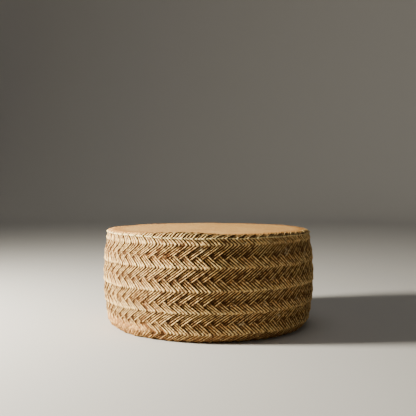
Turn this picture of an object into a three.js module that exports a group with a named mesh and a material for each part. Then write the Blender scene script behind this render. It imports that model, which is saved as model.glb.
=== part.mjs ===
// A whole wheel of pressed sheep's-milk cheese, in millimetres, standing on its flat base with +Z up.
// The origin is the centre of the base. While it was pressed, a belt of plaited grass was wound round
// its side, and the belt left its herringbone in the rind: rows of slanting strands that meet in ridges.
import * as THREE from "three";
import { mergeVertices } from "three/addons/utils/BufferGeometryUtils.js";

// Driving dimensions of the wheel
const HEIGHT = 92;
const WIDEST_RADIUS = 102;
const WIDEST_AT = 48; // height above the base where the barrel-shaped side is widest
const BARREL_CURVE_RADIUS = 207; // radius of the side's upright curve
const RIM_HEIGHT = 88.8; // the barrel curve ends here, and the rounded top shoulder starts
const TOP_FLAT_RADIUS = 93;
const BASE_EDGE_HEIGHT = 7.4; // the barrel curve ends here, and the rounded base edge starts
const BASE_FLAT_RADIUS = 88.5;

// Driving dimensions of the belt's print
const STRANDS = 65; // slanting strands in each row, right round the wheel
const PLAIT_WIDTH = 19.5; // from one left-pointing ridge to the next: one falling and one rising row
const FALLING_WIDTH = 8.2; // the part of it whose strands fall to the right
const BELT_START = 3.6; // how far above the rim the belt's first left-pointing ridge would lie
const FALLING_SLOPE = THREE.MathUtils.degToRad(41.5);
const RISING_SLOPE = THREE.MathUtils.degToRad(36);
const ROW_DEPTH = 0.7; // how far the middle of a row lies behind the ridges on both sides of it
const SEAM_DEPTH = 0.9; // how far the seam between two strands lies behind their middles

const RIND = new THREE.MeshStandardMaterial({ color: 0xdcb988, roughness: 0.72, metalness: 0 });

// A place on the barrel-shaped side, a given way down its curve from the rim
function sidePlace(wayDown) {
  const rimAngle = Math.asin((RIM_HEIGHT - WIDEST_AT) / BARREL_CURVE_RADIUS);
  const angle = rimAngle - wayDown / BARREL_CURVE_RADIUS;
  return {
    z: WIDEST_AT + BARREL_CURVE_RADIUS * Math.sin(angle),
    radius: WIDEST_RADIUS - BARREL_CURVE_RADIUS * (1 - Math.cos(angle)),
  };
}

function sideLength() {
  const angleTo = (z) => Math.asin((z - WIDEST_AT) / BARREL_CURVE_RADIUS);
  return BARREL_CURVE_RADIUS * (angleTo(RIM_HEIGHT) - angleTo(BASE_EDGE_HEIGHT));
}

// How far to the right the strands have run, a given way down the belt
function strandRun(wayDown) {
  const fallingRun = FALLING_WIDTH / Math.tan(FALLING_SLOPE);
  const risingRun = (PLAIT_WIDTH - FALLING_WIDTH) / Math.tan(RISING_SLOPE);
  const plaits = Math.floor(wayDown / PLAIT_WIDTH);
  const within = wayDown - plaits * PLAIT_WIDTH;
  const run = plaits * (fallingRun - risingRun);
  if (within < FALLING_WIDTH) return run + within / Math.tan(FALLING_SLOPE);
  return run + fallingRun - (within - FALLING_WIDTH) / Math.tan(RISING_SLOPE);
}

// One ring of the side. Rings on a ridge are proud and have shallow seams, those in mid-row lie back.
function sideRing(wayDown, onRidge) {
  const { z, radius } = sidePlace(wayDown);
  const run = strandRun(wayDown + BELT_START);
  if (onRidge) return { z, radius, run, seam: 0.35 * SEAM_DEPTH };
  return { z, radius: radius - ROW_DEPTH, run, seam: SEAM_DEPTH };
}

// Rings down the printed side: one on each ridge and one in the middle of each row
function sideRings() {
  const rings = [sideRing(0, true)];
  const end = sideLength();
  let rowStart = -BELT_START;
  for (let row = 0; rowStart < end; row++) {
    const width = row % 2 === 0 ? FALLING_WIDTH : PLAIT_WIDTH - FALLING_WIDTH;
    const middle = rowStart + width / 2;
    const ridge = rowStart + width;
    if (middle > 0 && middle < end) rings.push(sideRing(middle, false));
    if (ridge < end) rings.push(sideRing(ridge, true));
    rowStart = ridge;
  }
  rings.push(sideRing(end, true));
  return rings;
}

// Rings of the rounded edge between a flat face and the side, round a quarter of an ellipse
function edgeRings(flatZ, flatRadius, side, angles) {
  return angles.map((degrees) => {
    const a = THREE.MathUtils.degToRad(degrees);
    const z = flatZ + (side.z - flatZ) * (1 - Math.cos(a));
    const radius = flatRadius + (side.radius - flatRadius) * Math.sin(a);
    return { z, radius, run: side.run, seam: 0 };
  });
}

// Every ring from the top flat's edge down to the base flat's edge
function wheelRings() {
  const side = sideRings();
  return [
    ...edgeRings(HEIGHT, TOP_FLAT_RADIUS, side[0], [0, 40]),
    ...side,
    ...edgeRings(0, BASE_FLAT_RADIUS, side[side.length - 1], [60, 30, 0]),
  ];
}

// Two corners for each strand on every ring: one on the strand's middle, one in the seam beside it
function ringPoints(ring) {
  const corners = 2 * STRANDS;
  return Array.from({ length: corners }, (_, k) => {
    const radius = ring.radius - (k % 2 === 1 ? ring.seam : 0);
    const angle = (k / corners) * 2 * Math.PI + ring.run / WIDEST_RADIUS;
    return [radius * Math.cos(angle), radius * Math.sin(angle), ring.z];
  });
}

// A closed skin: a flat fan on top, a band of triangles between each two rings, a flat fan below
function wheelGeometry() {
  const rings = wheelRings().map(ringPoints);
  const corners = 2 * STRANDS;
  const top = [0, 0, HEIGHT];
  const base = [0, 0, 0];
  const triangles = [];
  const first = rings[0];
  const last = rings[rings.length - 1];
  for (let k = 0; k < corners; k++) {
    const next = (k + 1) % corners;
    triangles.push(top, first[k], first[next]);
    triangles.push(base, last[next], last[k]);
  }
  for (let r = 0; r < rings.length - 1; r++) {
    for (let k = 0; k < corners; k++) {
      const next = (k + 1) % corners;
      const [a, b, c, d] = [rings[r][k], rings[r][next], rings[r + 1][k], rings[r + 1][next]];
      triangles.push(a, c, b);
      triangles.push(b, c, d);
    }
  }
  const geometry = new THREE.BufferGeometry();
  geometry.setAttribute("position", new THREE.Float32BufferAttribute(triangles.flat(), 3));
  const skin = mergeVertices(geometry);
  skin.computeVertexNormals();
  return skin;
}

const cheeseWheel = new THREE.Mesh(wheelGeometry(), RIND);
cheeseWheel.name = "cheese_wheel";

const part = new THREE.Group();
part.add(cheeseWheel);

export default part;
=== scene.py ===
import math

import bpy
import numpy as np
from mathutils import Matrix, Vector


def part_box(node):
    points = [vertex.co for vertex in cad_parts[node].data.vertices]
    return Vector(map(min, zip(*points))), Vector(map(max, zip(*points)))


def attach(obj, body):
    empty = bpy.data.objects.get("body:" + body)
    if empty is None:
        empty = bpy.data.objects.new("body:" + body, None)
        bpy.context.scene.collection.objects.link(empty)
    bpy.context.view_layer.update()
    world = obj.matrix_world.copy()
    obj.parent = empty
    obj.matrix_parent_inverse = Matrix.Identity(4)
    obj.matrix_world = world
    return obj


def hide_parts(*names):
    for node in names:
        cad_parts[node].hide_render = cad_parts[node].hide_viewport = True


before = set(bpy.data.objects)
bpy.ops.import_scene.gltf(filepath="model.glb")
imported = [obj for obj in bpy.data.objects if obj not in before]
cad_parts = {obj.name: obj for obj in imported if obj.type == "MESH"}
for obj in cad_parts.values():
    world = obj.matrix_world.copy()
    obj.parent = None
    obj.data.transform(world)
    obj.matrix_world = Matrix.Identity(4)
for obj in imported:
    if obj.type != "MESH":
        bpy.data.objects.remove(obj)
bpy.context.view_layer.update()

# ---------------------------------------------------------------------------------------------
# The pressed curd, before the belt printed it.
# A plain barrel of curd as its mould shapes it: flat top and base, bulging side, rounded edges.
# It is turned as rings of points, crowded where the belt's ridges and stems will press in.
# ---------------------------------------------------------------------------------------------
MM = 0.001
wheel_low, wheel_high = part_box("cheese_wheel")
HEIGHT = wheel_high[2]
WIDEST_RADIUS = (wheel_high[0] - wheel_low[0]) / 2
WIDEST_AT = 48 * MM
BARREL_CURVE = 207 * MM
RIM_HEIGHT = 88.8 * MM
TOP_FLAT_RADIUS = 93 * MM
BASE_EDGE_HEIGHT = 7.4 * MM
BASE_FLAT_RADIUS = 88.5 * MM
EDGE_POINTS = 31
SIDE_POINTS = 121

# The belt, as far as the rings of points need to know it
STRANDS = 65
STEMS_IN_STRAND = 3
PLAIT_WIDTH = 19.5 * MM
BELT_START = 3.6 * MM

# Where the points lie: across each stem, as parts of its width, and the rings, in millimetres
# down each plait, from the rim, from the top's middle and from the base's middle
STEM_POINTS = (0, 0.13, 0.36, 0.64, 0.87)
RINGS_IN_PLAIT = (0, 0.65, 1.3, 1.95, 2.6, 4.5, 6.4, 7.9, 8.9, 9.9, 11.4, 13.2, 15.0, 16.9,
                  17.55, 18.2, 18.85)
RIM_RINGS = (-8.0, -6.4, -5.2, -4.1, -3.1, -2.2, -1.4, -0.7, 0)
TOP_RINGS = (14, 30, 46, 60, 72, 81, 87)
BASE_RINGS = (83, 74, 60, 42, 22)
RIM_RING_GAP = 0.5 * MM


def edge_curve(flat, flat_radius, side, side_radius):
    """Points round a rounded edge, from its flat face to the side."""
    angles = np.radians(np.linspace(0, 90, EDGE_POINTS))
    radius = flat_radius + (side_radius - flat_radius) * np.sin(angles)
    height = flat + (side - flat) * (1 - np.cos(angles))
    return np.column_stack([radius, height])


def side_curve():
    """Points down the bulging side, from the rim to the base edge."""
    rim = math.asin((RIM_HEIGHT - WIDEST_AT) / BARREL_CURVE)
    edge = math.asin((BASE_EDGE_HEIGHT - WIDEST_AT) / BARREL_CURVE)
    angles = np.linspace(rim, edge, SIDE_POINTS)
    radius = WIDEST_RADIUS - BARREL_CURVE * (1 - np.cos(angles))
    return np.column_stack([radius, WIDEST_AT + BARREL_CURVE * np.sin(angles)])


def wheel_outline():
    """The outline from the top's middle to the base's, the way along it, and where the base starts."""
    side = side_curve()
    shoulder = edge_curve(HEIGHT, TOP_FLAT_RADIUS, side[0, 1], side[0, 0])
    edge = edge_curve(0, BASE_FLAT_RADIUS, side[-1, 1], side[-1, 0])[::-1]
    points = np.vstack([[[0, HEIGHT]], shoulder, side[1:], edge[1:], [[0, 0]]])
    steps = np.linalg.norm(np.diff(points, axis=0), axis=1)
    rim_way = TOP_FLAT_RADIUS + np.linalg.norm(np.diff(shoulder, axis=0), axis=1).sum()
    way = np.concatenate([[0], np.cumsum(steps)]) - rim_way + BELT_START
    return points, way, way[-1] - BASE_FLAT_RADIUS


def printed_rings(belt_end):
    """Ways down the belt where a full ring of points goes."""
    plaits = range(-1, int(belt_end / PLAIT_WIDTH) + 1)
    ways = [plait * PLAIT_WIDTH + ring * MM for plait in plaits for ring in RINGS_IN_PLAIT]
    rim = [BELT_START + ring * MM for ring in RIM_RINGS]
    return rim + [way for way in ways if BELT_START + RIM_RING_GAP < way < belt_end]


def stitch(upper, lower):
    """Faces between two rings, where one may have a whole number of times fewer points."""
    faces = []
    wide = max(len(upper), len(lower))
    for k in range(wide):
        a = upper[k * len(upper) // wide]
        b = upper[(k + 1) * len(upper) // wide % len(upper)]
        c = lower[k * len(lower) // wide]
        d = lower[(k + 1) * len(lower) // wide % len(lower)]
        corners = [a, c, d, b]
        faces.append([p for i, p in enumerate(corners) if p not in corners[:i]])
    return faces


def press_curd():
    """The plain wheel as one closed mesh, each point knowing its way down the belt."""
    outline, way, base_way = wheel_outline()
    columns = [(strand + (stem + place) / STEMS_IN_STRAND) / STRANDS
               for strand in range(STRANDS) for stem in range(STEMS_IN_STRAND)
               for place in STEM_POINTS]
    # The flats need only one point for each strand
    rings = [(way[0] + ring * MM, STRANDS) for ring in TOP_RINGS]
    rings += [(ring, len(columns)) for ring in printed_rings(base_way)]
    rings += [(way[-1] - ring * MM, STRANDS) for ring in BASE_RINGS]
    points = [(0, 0, outline[0, 1])]
    belt = [way[0]]
    faces = []
    last = [0]
    for ring, count in rings:
        radius = np.interp(ring, way, outline[:, 0])
        height = np.interp(ring, way, outline[:, 1])
        start = len(points)
        for column in columns[::len(columns) // count]:
            angle = 2 * math.pi * column
            points.append((radius * math.cos(angle), radius * math.sin(angle), height))
            belt.append(ring)
        new = list(range(start, start + count))
        faces += stitch(last, new)
        last = new
    points.append((0, 0, outline[-1, 1]))
    belt.append(way[-1])
    faces += stitch(last, [len(points) - 1])
    mesh = bpy.data.meshes.new("pressed_curd")
    mesh.from_pydata(points, [], faces)
    mesh.attributes.new("belt_way", "FLOAT", "POINT").data.foreach_set("value", belt)
    return mesh


# ---------------------------------------------------------------------------------------------
# The print of the plaited belt.
# The belt is a herringbone of strands, each of three grass stems, that dive under one another at
# the left-pointing ridges and fold over softly at the right-pointing ones.
# ---------------------------------------------------------------------------------------------

# The belt's weave: the last three are parts of a strand, a bare power and a first random draw
FALLING_WIDTH = 8.9 * MM
FALLING_SLOPE = math.radians(41.5)
RISING_SLOPE = math.radians(36)
STEP_HEIGHT = 1.97 * MM
FOLD_SOFTNESS = 0.7 * MM
COLUMN_LEAD = 1 / 6
CREST_SHARPNESS = 1.8
BELT_SEED = 7

# How deep each part of the print goes in, and how high the curd stands out
STEM_DEPTH = 1.15 * MM
SEAM_DEPTH = 1.1 * MM
STRAND_TILT = 1.0 * MM
ROW_DEPTH = 0.65 * MM
DIVE_DEPTH = 0.3 * MM
UNDER_TIP_DEPTH = 0.55 * MM
TIP_RISE = 0.12 * MM
PIT_DEPTH = 0.9 * MM
GOUGE_DEPTH = 1.6 * MM
SIDE_SWELL = 1.0 * MM
FOOT_SWELL = 1.6 * MM
RIM_LINE = 1.15 * MM
RIM_RISE = 0.4 * MM
SHARP_RIM_RISE = 1.2 * MM
SHOULDER_RISE = 0.1 * MM
LIP_RISE = 2.7 * MM
LIP_SWELL = 0.8 * MM
LAST_ROW_LIFT = 1.9 * MM
ROW_WANDER = 1.8 * MM
STRAND_WANDER = 1.6 * MM
STEM_WANDER = 0.5 * MM

# Along a strand, measured from its tip: where the tip thins, its tail starts, the next one dips
TIP_THINS = (0.2 * MM, 4.2 * MM)
TAIL_THICKENS = (0.1 * MM, 1.2 * MM)
DIP_STARTS = (0.2 * MM, 1.2 * MM)
DIP_ENDS = (1.5 * MM, 7.0 * MM)
DIVE_ENDS = (0.0, 3.0 * MM)

# Across a strand, as parts of its width
SEAM_ENDS = (0.0, 0.13)
DIVE_NARROWS = (0.55, 0.9)

# From the rim in over the shoulder
PRINT_ENDS_ON_TOP = (4.0 * MM, 8.0 * MM)
PRINT_END_WANDER = 3 * MM
TEETH_START = (0.3 * MM, 1.5 * MM)
SMOOTH_STARTS = (0.3 * MM, 1.2 * MM)
LIP_RISES = (0.2 * MM, 3.2 * MM)
LIP_FALLS = (5.5 * MM, 15 * MM)
TOP_EDGE_ENDS = (9 * MM, 19 * MM)

# Down past the rim: the line's half width, then the lift of the skin on both sides of it
RIM_LINE_ENDS = (0.1 * MM, 0.9 * MM)
RIM_LIFT_STARTS = (-5 * MM, -0.8 * MM)
RIM_LIFT_ENDS = (0, 9 * MM)

# Down past the place where the base starts
PRINT_ENDS_AT_BASE = (-1.0 * MM, 2.0 * MM)
CRUMBLED_STARTS = (-20 * MM, -15 * MM)
FOOT_STARTS = (-13 * MM, -6 * MM)
FOOT_ENDS = (-1 * MM, 4 * MM)
LAST_ROW_RISES = (3 * PLAIT_WIDTH, 4 * PLAIT_WIDTH)
LAST_ROW_FALLS = 4.4 * PLAIT_WIDTH

# Round the wheel: which way each place faces, and how squarely before it starts and is full
LIP_FACES = math.radians(-120)
LIP_SPREAD = (0.8387, 0.99)
SMOOTH_FACES = math.radians(-172)
SMOOTH_SPREAD = (0.62, 0.86)
SHARP_SPREAD = (0.45, 0.86)
LAP_FACES = math.radians(-112)
LAP_SPREAD = (0.9982, 0.9998)
LAP_WANDER = 0.05
CRUMBLED_FACES = math.radians(-140)
CRUMBLED_SPREAD = (0.8, 0.97)

# Pits lie in a few cells of a random honeycomb
PIT_SPACING = 15 * MM
PIT_EDGE = (0.05, 0.17)
CELLS_WITHOUT_PIT = 0.72

# What the rind's finish will want to know of each point
MARKS = ("groove_dirt_and_shade", "printed", "stain", "rim", "top_edge", "crumbly")


class Measure:
    """A number taken all over the wheel's skin, which adds and multiplies like any number."""

    def __init__(self, tree, socket):
        self.tree = tree
        self.socket = socket

    def math(self, operation, *others):
        node = self.tree.nodes.new("ShaderNodeMath")
        node.operation = operation
        for slot, value in zip(node.inputs, (self, *others)):
            feed(self.tree, slot, value)
        return Measure(self.tree, node.outputs[0])

    def __add__(self, other):
        return self.math("ADD", other)

    def __radd__(self, other):
        return self.math("ADD", other)

    def __sub__(self, other):
        return self.math("SUBTRACT", other)

    def __rsub__(self, other):
        return self.math("MULTIPLY", -1.0).math("ADD", other)

    def __mul__(self, other):
        return self.math("MULTIPLY", other)

    def __rmul__(self, other):
        return self.math("MULTIPLY", other)

    def __truediv__(self, other):
        return self.math("DIVIDE", other)

    def __rtruediv__(self, other):
        return self.math("POWER", -1.0) * other


def feed(tree, slot, value):
    """Puts a measure or a plain number into a node's input."""
    if isinstance(value, Measure):
        tree.links.new(value.socket, slot)
    else:
        slot.default_value = value


def ramp(value, low, high, bottom=0.0, top=1.0):
    """A soft step from bottom to top as the value passes from low to high."""
    node = value.tree.nodes.new("ShaderNodeMapRange")
    node.interpolation_type = "SMOOTHSTEP"
    for name, number in zip(("Value", "From Min", "From Max", "To Min", "To Max"),
                            (value, low, high, bottom, top)):
        feed(value.tree, node.inputs[name], number)
    return Measure(value.tree, node.outputs["Result"])


def fade(value, low, high):
    """A soft step from 1 down to 0 as the value passes from low to high."""
    return ramp(value, low, high, 1.0, 0.0)


def choose(switch, if_false, if_true):
    """One value or the other: the switch is 0 or 1."""
    return switch * (if_true - if_false) + if_false


def whole(value):
    """The whole number below the value."""
    return value.math("FLOOR")


def join(tree, x, y, z=0.0):
    """Three measures or numbers as one vector."""
    node = tree.nodes.new("ShaderNodeCombineXYZ")
    for axis, value in zip("XYZ", (x, y, z)):
        feed(tree, node.inputs[axis], value)
    return node.outputs[0]


def split(tree, vector):
    """A vector's three parts as measures."""
    node = tree.nodes.new("ShaderNodeSeparateXYZ")
    tree.links.new(vector, node.inputs[0])
    return [Measure(tree, node.outputs[axis]) for axis in "XYZ"]


def spin(tree, vector, angle):
    """A vector turned about the wheel's upright axis."""
    node = tree.nodes.new("ShaderNodeVectorRotate")
    node.rotation_type = "Z_AXIS"
    tree.links.new(vector, node.inputs["Vector"])
    feed(tree, node.inputs["Angle"], angle)
    return node.outputs[0]


def wobble(tree, place, size, seed, detail=1.0):
    """A smooth random value from about -0.5 to 0.5 that changes over the given size."""
    node = tree.nodes.new("ShaderNodeTexNoise")
    node.noise_dimensions = "4D"
    tree.links.new(place, node.inputs["Vector"])
    node.inputs["Scale"].default_value = 1 / size
    node.inputs["Detail"].default_value = detail
    feed(tree, node.inputs["W"], seed)
    return Measure(tree, node.outputs["Fac"]) - 0.5


def chance(tree, first, second, seed):
    """A fixed random value from 0 to 1 for each pair of whole numbers."""
    node = tree.nodes.new("ShaderNodeTexWhiteNoise")
    node.noise_dimensions = "4D"
    tree.links.new(join(tree, first, second), node.inputs["Vector"])
    feed(tree, node.inputs["W"], seed)
    return Measure(tree, node.outputs["Value"])


def facing(x, y, angle):
    """1 where the side faces the given way round the wheel, falling to -1 on the far side."""
    far = (x * x + y * y).math("SQRT").math("MAXIMUM", MM)
    return (x * math.cos(angle) + y * math.sin(angle)) / far


def store(tree, skin, name, kind, value):
    """The skin with one more thing known of each point."""
    node = tree.nodes.new("GeometryNodeStoreNamedAttribute")
    node.data_type = kind
    node.domain = "POINT"
    node.inputs["Name"].default_value = name
    tree.links.new(skin, node.inputs["Geometry"])
    tree.links.new(value, node.inputs["Value"])
    return node.outputs["Geometry"]


def belt_tree():
    """The node tree that turns the plain curd's rings with the strands and prints the belt in."""
    tree = bpy.data.node_groups.new("belt_print", "GeometryNodeTree")
    sizes = {
        "Strands": STRANDS, "Plait Width": PLAIT_WIDTH, "Falling Width": FALLING_WIDTH,
        "Falling Slope": FALLING_SLOPE, "Rising Slope": RISING_SLOPE, "Stem Depth": STEM_DEPTH,
        "Seam Depth": SEAM_DEPTH, "Strand Tilt": STRAND_TILT, "Row Depth": ROW_DEPTH,
        "Dive Depth": DIVE_DEPTH, "Step Height": STEP_HEIGHT, "Seed": BELT_SEED,
    }
    tree.interface.new_socket("Curd", in_out="INPUT", socket_type="NodeSocketGeometry")
    for name in sizes:
        tree.interface.new_socket(name, in_out="INPUT", socket_type="NodeSocketFloat")
    tree.interface.new_socket("Rind", in_out="INPUT", socket_type="NodeSocketMaterial")
    tree.interface.new_socket("Wheel", in_out="OUTPUT", socket_type="NodeSocketGeometry")
    given = tree.nodes.new("NodeGroupInput")
    size = {name: Measure(tree, given.outputs[name]) for name in sizes}
    plait = size["Plait Width"]
    falling = size["Falling Width"]
    step = size["Step Height"]

    position = tree.nodes.new("GeometryNodeInputPosition").outputs[0]
    normal = tree.nodes.new("GeometryNodeInputNormal").outputs[0]
    known = tree.nodes.new("GeometryNodeInputNamedAttribute")
    known.data_type = "FLOAT"
    known.inputs["Name"].default_value = "belt_way"
    way_down = Measure(tree, known.outputs["Attribute"])
    x, y = split(tree, position)[:2]

    def uneven(spread, draw, detail=1.0):
        """A wobble of the curd over a spread in millimetres, with its own random draw."""
        return wobble(tree, position, spread * MM, size["Seed"] + draw, detail)

    # How far the strands run sideways for each metre down, counted in strands
    strand_width = 2 * math.pi * WIDEST_RADIUS / size["Strands"]
    fall = 1 / size["Falling Slope"].math("TANGENT") / strand_width
    rise = 1 / size["Rising Slope"].math("TANGENT") / strand_width

    def run_in_plait(down, tip):
        """How far a strand has run sideways, a given way down its plait, folding at the tip."""
        beyond_tip = (down - tip).math("SMOOTH_MAX", 0.0, FOLD_SOFTNESS)
        return down * fall - beyond_tip * (fall + rise)

    # Above the rim, the belt's edge is folded over the shoulder, and its stems run the other way
    way = way_down.math("MAXIMUM", BELT_START)
    over_rim = way - way_down
    past_rim = way_down - BELT_START
    base_way = wheel_outline()[2]
    past_side = way_down - base_way

    # The rings are turned so that their columns of points lie along the stems
    lead = COLUMN_LEAD / (fall + rise)
    mesh_down = way - lead
    mesh_plait = whole(mesh_down / plait)
    mesh_within = mesh_down - mesh_plait * plait
    mesh_tip = falling - lead
    mesh_drift = mesh_tip * fall - (plait - mesh_tip) * rise
    mesh_run = mesh_plait * mesh_drift + run_in_plait(mesh_within, mesh_tip) + lead * fall
    around = y.math("ARCTAN2", x) / (2 * math.pi) * size["Strands"] + mesh_run

    # Two families of strands meet at the nearest left-pointing ridge: one ends, the other starts
    # half a strand further on. The starting ones are numbered apart, for other random draws.
    half_strand = 0.5
    numbered_apart = 100
    ridge = whole(way / plait + 0.5)
    past_ridge = way - ridge * plait
    drift = falling * fall - (plait - falling) * rise - half_strand
    ending = around - (ridge - 1) * drift - run_in_plait(past_ridge + plait, falling)
    starting = around - ridge * drift - run_in_plait(past_ridge, falling)
    ending_part = ending - whole(ending)
    starting_part = starting - whole(starting)
    end_line = step * (ending_part * 2 - 1)
    is_starting = past_ridge.math("GREATER_THAN", end_line)
    across = choose(is_starting, ending_part, starting_part)
    strand = choose(is_starting, whole(ending), whole(starting) + numbered_apart)
    down = choose(is_starting, past_ridge + plait, past_ridge)
    start_line = step * (1 - starting_part * 2)
    to_ridge = choose(is_starting, end_line - past_ridge, past_ridge - start_line)
    is_falling = down.math("LESS_THAN", falling)

    # Across a strand: three round stems, tilted so that one edge stands proud over the next strand
    stem = across * STEMS_IN_STRAND
    stem_part = stem - whole(stem)
    crest = (stem_part * math.pi).math("SINE").math("MAXIMUM", 0.0)
    crest = crest.math("POWER", CREST_SHARPNESS)
    luck = chance(tree, strand, ridge, size["Seed"])
    before_tip = fade(falling - down, *TIP_THINS)
    past_tip = fade(down - falling, *TAIL_THICKENS)
    near_tip = choose(is_falling, past_tip, before_tip)
    under_tip = (1 - is_falling) * ramp(down - falling, *DIP_STARTS)
    under_tip = under_tip * fade(down - falling, *DIP_ENDS)
    seam = fade(across, *SEAM_ENDS) * (1 - before_tip * 0.8)
    dive = fade(to_ridge, *DIVE_ENDS) * fade(across, *DIVE_NARROWS)

    # Small pits where the curd didn't quite close
    cells = tree.nodes.new("ShaderNodeTexVoronoi")
    cells.inputs["Scale"].default_value = 1 / PIT_SPACING
    tree.links.new(position, cells.inputs["Vector"])
    picked = tree.nodes.new("FunctionNodeSeparateColor")
    tree.links.new(cells.outputs["Color"], picked.inputs[0])
    pits = fade(Measure(tree, cells.outputs["Distance"]), *PIT_EDGE)
    pits = pits * Measure(tree, picked.outputs[0]).math("GREATER_THAN", CELLS_WITHOUT_PIT)

    # Where the print reaches: it fades over the shoulder and at the base, and where the foot
    # has crumbled or the shoulder was pressed smooth
    top_wander = uneven(14, 3) * PRINT_END_WANDER
    top_fade = fade(over_rim + top_wander, *PRINT_ENDS_ON_TOP)
    base_fade = fade(past_side, *PRINT_ENDS_AT_BASE)
    smooth_shoulder = ramp(facing(x, y, SMOOTH_FACES), *SMOOTH_SPREAD)
    smooth_shoulder = smooth_shoulder * ramp(over_rim, *SMOOTH_STARTS)
    crumbled = ramp(facing(x, y, CRUMBLED_FACES), *CRUMBLED_SPREAD)
    crumbled = crumbled * ramp(past_side, *CRUMBLED_STARTS)
    printed = top_fade * base_fade * (1 - crumbled * 0.7) * (1 - smooth_shoulder * 0.8)

    # How strong it is: worn mostly on the falling stems, patchy, different from strand to strand,
    # and broken up and gouged at the lap of the belt's two ends
    wear = ramp(uneven(22, 11, 2.0), 0.03, 0.25, 1.0, 0.5)
    wear = choose(is_falling, wear * 0.3 + 0.7, wear)
    lap_wander = uneven(17, 12, 2.0) * LAP_WANDER
    lap = ramp(facing(x, y, LAP_FACES) + lap_wander, *LAP_SPREAD)
    lap = lap * ramp(uneven(11, 13), 0.0, 0.12)
    lap = lap * printed
    gouge = ramp(uneven(4.5, 16, 2.0), -0.02, 0.1) * lap
    patchy = uneven(5, 15, 2.0) * 0.9 + 1
    strength = printed * wear * patchy * (0.72 + luck * 0.5) * (1 - lap * 0.35)

    # The stems are deepest over the shoulder, and run out at the tips and at the rim
    at_rim = fade(past_rim.math("ABSOLUTE"), *RIM_LINE_ENDS)
    tip_wear = uneven(8, 14) * 0.9 + 0.6
    teeth = ramp(over_rim, *TEETH_START) * 0.45 + 1
    stem_depth = size["Stem Depth"] * teeth * strength * (1 - is_falling * 0.2)
    stem_depth = stem_depth * (1 - near_tip * tip_wear) * (1 - at_rim * 0.95)

    # Everything that moves the skin in or out, added up
    row_part = choose(is_falling, (down - falling) / (plait - falling), down / falling)
    row = (row_part * math.pi).math("SINE").math("ABSOLUTE")
    raised = (crest - 1) * stem_depth
    raised = raised - seam * size["Seam Depth"] * strength
    raised = raised + (across - 0.5) * size["Strand Tilt"] * strength * (1 - near_tip * 0.5)
    raised = raised - dive * size["Dive Depth"] * strength
    raised = raised - row * size["Row Depth"] * printed * choose(is_falling, 1.0, 0.7)
    raised = raised + near_tip * TIP_RISE * printed + at_rim * RIM_LINE
    raised = raised - under_tip * UNDER_TIP_DEPTH * strength
    raised = raised - pits * PIT_DEPTH - gouge * GOUGE_DEPTH
    raised = raised + uneven(30, 5, 2.0) * SIDE_SWELL
    raised = raised + uneven(4, 6, 3.0) * (lap * 1.4 + crumbled * 1.3 + 0.45) * MM
    raised = raised + uneven(2.3, 7) * (crumbled * 1.8 + 0.8) * MM

    # Below the belt's last row the curd was held only by the cloth, and its edge is crumbly
    at_foot = ramp(past_side, *FOOT_STARTS) * fade(past_side, *FOOT_ENDS)
    crumble = uneven(3.2, 9, 3.0) * (crumbled * 2.5 + 4.0) * MM
    crumble = (crumble + uneven(9, 10) * FOOT_SWELL) * at_foot

    # Curd squeezed up inside the belt stands as a low lip round the shoulder, highest at one place
    on_shoulder = ramp(over_rim, *LIP_RISES) * fade(over_rim, *LIP_FALLS)
    lip_height = ramp(facing(x, y, LIP_FACES), *LIP_SPREAD) * LIP_RISE + SHOULDER_RISE
    lip_height = lip_height + uneven(20, 8, 2.0) * LIP_SWELL
    sharp = ramp(facing(x, y, SMOOTH_FACES), *SHARP_SPREAD)
    lip = on_shoulder * lip_height * (1 - sharp * 0.6)

    # The rim stands as a crisp edge, sharpest where the shoulder is smooth
    close_to_rim = ramp(past_rim, *RIM_LIFT_STARTS) * fade(past_rim, *RIM_LIFT_ENDS)
    rim_lift = close_to_rim * (sharp * SHARP_RIM_RISE + RIM_RISE)

    # The belt was never quite even: strands wander sideways and rows up and down
    sideways = uneven(25, 1) * STRAND_WANDER + uneven(6, 2) * STEM_WANDER
    last_row = ramp(way_down, *LAST_ROW_RISES) * fade(way_down, LAST_ROW_FALLS, base_way)
    upward = uneven(25, 4) * ROW_WANDER * printed + last_row * LAST_ROW_LIFT

    # Each point is turned to its place along the stems, pushed in or out, and lifted
    turn = (mesh_run + over_rim * rise) / size["Strands"] * (2 * math.pi)
    turn = turn + sideways / WIDEST_RADIUS
    push = tree.nodes.new("ShaderNodeVectorMath")
    push.operation = "MULTIPLY_ADD"
    tree.links.new(spin(tree, normal, turn), push.inputs[0])
    tree.links.new(raised.socket, push.inputs[1])
    tree.links.new(spin(tree, position, turn), push.inputs[2])
    pushed_x, pushed_y, pushed_z = split(tree, push.outputs[0])
    spread_out = crumble / WIDEST_RADIUS + 1
    height = (pushed_z + upward + lip + rim_lift).math("MAXIMUM", 0.0)
    place = join(tree, pushed_x * spread_out, pushed_y * spread_out, height)
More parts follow.
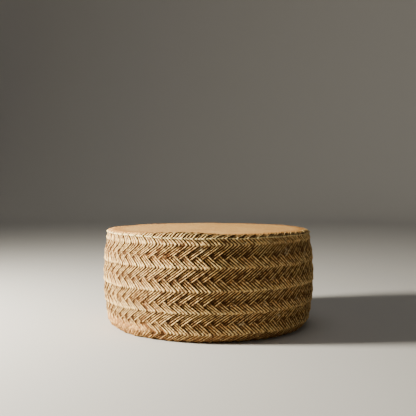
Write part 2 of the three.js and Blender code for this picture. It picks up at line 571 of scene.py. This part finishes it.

    # What the rind's finish reads: how deep in a groove each point lies, for its dirt and painted
    # shade, how strong the print is, where the stains, the rim line with its painted highlight, the
    # top's dark edge and the crumbs are, and how the stems run
    groove_darkening = printed * (wear * 0.4 + 0.6) * (patchy * 0.5 + 0.5)
    # Painted shade with dirt: grooves, seams and dives darken the colour, more on a strand's first
    # stem, in the shade of the proud edge of the strand beside it, and less on the falling stems
    groove_dirt_and_shade = (1 - crest) * (1 - near_tip * tip_wear) * groove_darkening
    groove_dirt_and_shade = groove_dirt_and_shade.math("MAXIMUM", seam * 0.8 * groove_darkening) + dive * 0.2 * strength
    groove_dirt_and_shade = groove_dirt_and_shade * (1.18 - across * 0.36) * (1 - is_falling * 0.2)
    groove_dirt_and_shade = groove_dirt_and_shade.math("MAXIMUM", gouge * 0.75) * (1 - at_rim * 0.93)
    stain = (pits + lap * 0.3 + crumbled * 0.05).math("MINIMUM", 1.0)
    edge_starts = 3.5 * MM - sharp * 3.2 * MM
    edge_is_full = 6.5 * MM - sharp * 5.2 * MM
    top_edge = ramp(over_rim, edge_starts, edge_is_full) * fade(over_rim, *TOP_EDGE_ENDS)
    crumbly = crumbled.math("MAXIMUM", at_foot * 0.7)
    skin = given.outputs["Curd"]
    for name, value in zip(MARKS, (groove_dirt_and_shade, printed, stain, at_rim, top_edge, crumbly)):
        skin = store(tree, skin, name, "FLOAT", value.socket)
    stems = join(tree, stem + strand * STEMS_IN_STRAND, down, luck)
    skin = store(tree, skin, "stems", "FLOAT_VECTOR", stems)

    moved = tree.nodes.new("GeometryNodeSetPosition")
    tree.links.new(skin, moved.inputs["Geometry"])
    tree.links.new(place, moved.inputs["Position"])
    smooth = tree.nodes.new("GeometryNodeSetShadeSmooth")
    tree.links.new(moved.outputs[0], smooth.inputs["Geometry"])
    real = tree.nodes.new("GeometryNodeRealizeInstances")
    tree.links.new(smooth.outputs[0], real.inputs[0])
    finish = tree.nodes.new("GeometryNodeSetMaterial")
    tree.links.new(real.outputs[0], finish.inputs["Geometry"])
    tree.links.new(given.outputs["Rind"], finish.inputs["Material"])
    result = tree.nodes.new("NodeGroupOutput")
    tree.links.new(finish.outputs[0], result.inputs["Wheel"])
    return tree, sizes


# ---------------------------------------------------------------------------------------------
# The rind.
# Months in the cave dry the skin to a golden tan, oiled and rubbed pale on the ridges, with a painted
# highlight laid over them and over the rim line, brown where mould and dust stay in the grooves and
# darker still there with painted shade, with rusty marks at pits and at the lap of the belt.
# ---------------------------------------------------------------------------------------------
TAN = (0.61, 0.335, 0.105)
TOP_TAN = (0.56, 0.285, 0.075)
PALE_TAN = (0.73, 0.46, 0.15)
AMBER = (0.44, 0.18, 0.035)
CREAM = (0.94, 0.74, 0.345)
GROOVE_DIRT_AND_SHADE_BROWN = (0.085, 0.032, 0.007)
STRAW_BROWN = (0.32, 0.15, 0.05)
RUST = (0.33, 0.12, 0.025)
BLOOM = (0.94, 0.81, 0.50)
MOULD_BROWN = (0.16, 0.095, 0.05)

# How fine the straw marks are: across the stems, along them, and from strand to strand
STRAW_FINENESS = (5.0, 160.0, 3.0)
MEAN_ROUGHNESS = 0.78
SHEEN = 0.22
BUMP_HEIGHT = 1.2 * MM
BUMP_STRENGTH = 0.9


def tint(under, over, amount):
    """One colour laid over another, as strongly as the amount says."""
    node = amount.tree.nodes.new("ShaderNodeMix")
    node.data_type = "RGBA"
    feed(amount.tree, node.inputs["Factor"], amount)
    for slot, colour in ((node.inputs[6], under), (node.inputs[7], over)):
        if isinstance(colour, tuple):
            slot.default_value = (*colour, 1)
        else:
            amount.tree.links.new(colour, slot)
    return node.outputs[2]


def skin_reading(tree, name):
    """What the print stored under a name, at each point of the skin."""
    node = tree.nodes.new("ShaderNodeAttribute")
    node.attribute_name = name
    return node


def rind_material():
    """The whole finish: tans, tints of the print, stains, painted highlights on the ridges and rim
    line, painted shade in the grooves and a fine crumb in the bump.
    """
    material = bpy.data.materials.new("rind")
    material.use_nodes = True
    tree = material.node_tree
    shader = tree.nodes["Principled BSDF"]
    place = tree.nodes.new("ShaderNodeTexCoord").outputs["Object"]
    groove_dirt_and_shade, printed, stain, rim, top_edge, crumbly = (
        Measure(tree, skin_reading(tree, name).outputs["Fac"]) for name in MARKS)

    # Straw marks run along each stem; the other patterns are in the curd itself
    along = tree.nodes.new("ShaderNodeVectorMath")
    along.operation = "MULTIPLY"
    tree.links.new(skin_reading(tree, "stems").outputs["Vector"], along.inputs[0])
    along.inputs[1].default_value = STRAW_FINENESS
    straw = wobble(tree, along.outputs[0], size=1.0, seed=1.0, detail=2.0)
    clouds = wobble(tree, place, size=26 * MM, seed=2.0, detail=4.0)
    blotches = wobble(tree, place, size=9 * MM, seed=3.0, detail=4.0)
    grain = wobble(tree, place, size=1.2 * MM, seed=4.0, detail=3.0)
    specks = wobble(tree, place, size=2.2 * MM, seed=5.0, detail=3.0)
    crumbs = wobble(tree, place, size=3.0 * MM, seed=6.0, detail=4.0)
    flecks = wobble(tree, place, size=2.6 * MM, seed=7.0, detail=2.0)
    ridge = fade(groove_dirt_and_shade, 0.04, 0.3) * printed

    # The dried skin, darker on the top, amber at the top's edge and in the crumbled foot
    colour = tint(TAN, PALE_TAN, ramp(clouds, -0.15, 0.15))
    colour = tint(colour, AMBER, ramp(blotches, 0.0, 0.22) * 0.75)
    colour = tint(colour, AMBER, ramp(crumbs, 0.02, 0.16) * 0.55)
    colour = tint(colour, TOP_TAN, (1 - printed) * 0.55)
    amber_foot = crumbly * ramp(specks, -0.16, 0.06) * 0.8
    colour = tint(colour, AMBER, (top_edge * 0.75).math("MAXIMUM", amber_foot))

    # Rubbed pale on the ridges and lightened there further as a painted highlight, a painted highlight
    # on the rim line, dirt and painted shade in the grooves, and brown along the straw
    colour = tint(colour, CREAM, ridge * ramp(grain + crumbs, -0.16, 0.12) * 0.95)
    dull = ramp(flecks + grain * 0.5, 0.05, 0.2) * (ridge * 0.5 + 0.2)
    colour = tint(colour, STRAW_BROWN, dull)
    # Painted highlight: the rim line is tinted cream
    colour = tint(colour, CREAM, rim * 0.9)
    # Painted shade with dirt: the grooves are tinted dark brown
    colour = tint(colour, GROOVE_DIRT_AND_SHADE_BROWN, ramp(groove_dirt_and_shade + straw * 0.2 + flecks, 0.09, 0.42) * 0.98)
    colour = tint(colour, STRAW_BROWN, ramp(straw, 0.05, 0.28) * printed * 0.45)

    # Rust at pits and lap, a pale bloom, specks of mould, and brown flecks over the crumbled foot
    colour = tint(colour, RUST, stain * ramp(grain, -0.2, 0.2, 0.35, 0.85))
    colour = tint(colour, BLOOM, ramp(blotches * -1 + grain * 0.8, 0.16, 0.34) * 0.45)
    colour = tint(colour, MOULD_BROWN, ramp(specks + clouds * 0.5, 0.24, 0.34) * 0.5)
    foot_flecks = ramp(crumbs * 0.5 + flecks, -0.04, 0.06)
    colour = tint(colour, STRAW_BROWN, crumbly * foot_flecks * 0.85)
    tree.links.new(colour, shader.inputs["Base Color"])

    # Dry and matt, a little smoother on the rubbed ridges
    matt = grain * 0.2 + groove_dirt_and_shade * 0.1 - ridge * 0.14 + (1 - printed) * 0.14
    feed(tree, shader.inputs["Roughness"], matt + MEAN_ROUGHNESS)
    shader.inputs["Specular IOR Level"].default_value = SHEEN
    bump = tree.nodes.new("ShaderNodeBump")
    bump.inputs["Distance"].default_value = BUMP_HEIGHT
    bump.inputs["Strength"].default_value = BUMP_STRENGTH
    crumb = grain * 0.8 + specks * 1.2 + flecks * 0.5
    crumb = crumb * (printed.math("MAXIMUM", crumbly) * 0.65 + crumbly * 0.8 + 0.35)
    feed(tree, bump.inputs["Height"], straw * 0.35 * printed + crumb)
    tree.links.new(bump.outputs[0], shader.inputs["Normal"])
    return material


rind = rind_material()
belt_nodes, belt_sizes = belt_tree()
blank = bpy.data.objects.new("pressed_curd", press_curd())
bpy.context.collection.objects.link(blank)
belt = blank.modifiers.new("belt_print", "NODES")
belt.node_group = belt_nodes
for item in belt_nodes.interface.items_tree:
    if item.name in belt_sizes:
        belt[item.identifier] = float(belt_sizes[item.name])
    elif item.name == "Rind":
        belt[item.identifier] = rind
ready = blank.evaluated_get(bpy.context.evaluated_depsgraph_get())
wheel = bpy.data.objects.new("cheese_wheel_rind", bpy.data.meshes.new_from_object(ready))
bpy.context.collection.objects.link(wheel)
bpy.data.objects.remove(blank)
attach(wheel, "root")
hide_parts("cheese_wheel")

# ---------------------------------------------------------------------------------------------
# The studio floor.
# A pale paper floor, flat under the wheel and swept up in one soft curve into a wall all round.
# ---------------------------------------------------------------------------------------------
FLOOR_RADIUS = 1.9
SWEEP_RADIUS = 1.1
SWEEP_STEP = 6
WALL_HEIGHT = 3.6
FLOOR_SIDES = 96
PAPER_COLOUR = (0.54, 0.528, 0.507, 1)
PAPER_ROUGHNESS = 0.9

floor_outline = [(FLOOR_RADIUS + SWEEP_RADIUS * math.sin(turn), SWEEP_RADIUS * (1 - math.cos(turn)))
                 for turn in np.radians(np.arange(0, 91, SWEEP_STEP))]
floor_outline.append((FLOOR_RADIUS + SWEEP_RADIUS, WALL_HEIGHT))
floor_points = [(radius * math.cos(2 * math.pi * side / FLOOR_SIDES),
                 radius * math.sin(2 * math.pi * side / FLOOR_SIDES), height)
                for radius, height in floor_outline for side in range(FLOOR_SIDES)]
floor_rings = [list(range(ring * FLOOR_SIDES, (ring + 1) * FLOOR_SIDES))
               for ring in range(len(floor_outline))]
floor_faces = [floor_rings[0]]
for inner, outer in zip(floor_rings, floor_rings[1:]):
    floor_faces += stitch(inner, outer)
floor_mesh = bpy.data.meshes.new("floor")
floor_mesh.from_pydata(floor_points, [], floor_faces)
floor_mesh.polygons.foreach_set("use_smooth", [True] * len(floor_mesh.polygons))
floor = bpy.data.objects.new("floor", floor_mesh)
bpy.context.collection.objects.link(floor)
paper = bpy.data.materials.new("floor_paper")
paper.use_nodes = True
paper_shader = paper.node_tree.nodes["Principled BSDF"]
paper_shader.inputs["Base Color"].default_value = PAPER_COLOUR
paper_shader.inputs["Roughness"].default_value = PAPER_ROUGHNESS
floor_mesh.materials.append(paper)

# ---------------------------------------------------------------------------------------------
# The camera.
# It stands in front of the wheel, a little above its top, and looks very slightly down, so it
# sees the whole printed side and a sliver of the top.
# ---------------------------------------------------------------------------------------------
LENS = 56.9
SENSOR_WIDTH = 36
CAMERA_PLACE = (-0.0005, -0.6442, 0.1316)
DEGREES_DOWN = 1.77

camera_data = bpy.data.cameras.new("camera")
camera_data.lens = LENS
camera_data.sensor_width = SENSOR_WIDTH
camera = bpy.data.objects.new("camera", camera_data)
camera.location = CAMERA_PLACE
camera.rotation_euler = (math.radians(90 - DEGREES_DOWN), 0, 0)
bpy.context.collection.objects.link(camera)
bpy.context.scene.camera = camera

# ---------------------------------------------------------------------------------------------
# The light.
# One small soft lamp on the left rakes across the print. A broad ceiling lamp, a weak fill from
# the front and a faint sky light the paper and keep the far side readable.
# ---------------------------------------------------------------------------------------------
SKY_COLOUR = (0.9, 0.93, 1.0, 1)
SKY_STRENGTH = 0.015


def soft_light(name, place, target, size, power, colour):
    """A round soft lamp at a place, turned towards its target."""
    data = bpy.data.lights.new(name, "AREA")
    data.shape = "DISK"
    data.size = size
    data.energy = power
    data.color = colour
    lamp = bpy.data.objects.new(name, data)
    lamp.location = place
    toward = np.array(target) - np.array(place)
    flat = math.hypot(toward[0], toward[1])
    tilt = math.atan2(flat, -toward[2])
    lamp.rotation_euler = (tilt, 0, math.atan2(toward[1], toward[0]) - math.pi / 2)
    bpy.context.collection.objects.link(lamp)


soft_light("key_light", place=(-0.70, -0.115, 0.30), target=(-0.05, 0, 0.055),
           size=0.15, power=32, colour=(1.0, 0.94, 0.80))
soft_light("ceiling_light", place=(0, 0, 3.4), target=(0, 0.01, 0),
           size=2.4, power=14, colour=(1.0, 0.97, 0.93))
soft_light("fill_light", place=(0.6, -1.2, 0.9), target=(0, 0, 0.05),
           size=1.2, power=0.1, colour=(1.0, 0.96, 0.92))
world = bpy.data.worlds.new("studio")
bpy.context.scene.world = world
world.use_nodes = True
sky = world.node_tree.nodes["Background"]
sky.inputs["Color"].default_value = SKY_COLOUR
sky.inputs["Strength"].default_value = SKY_STRENGTH
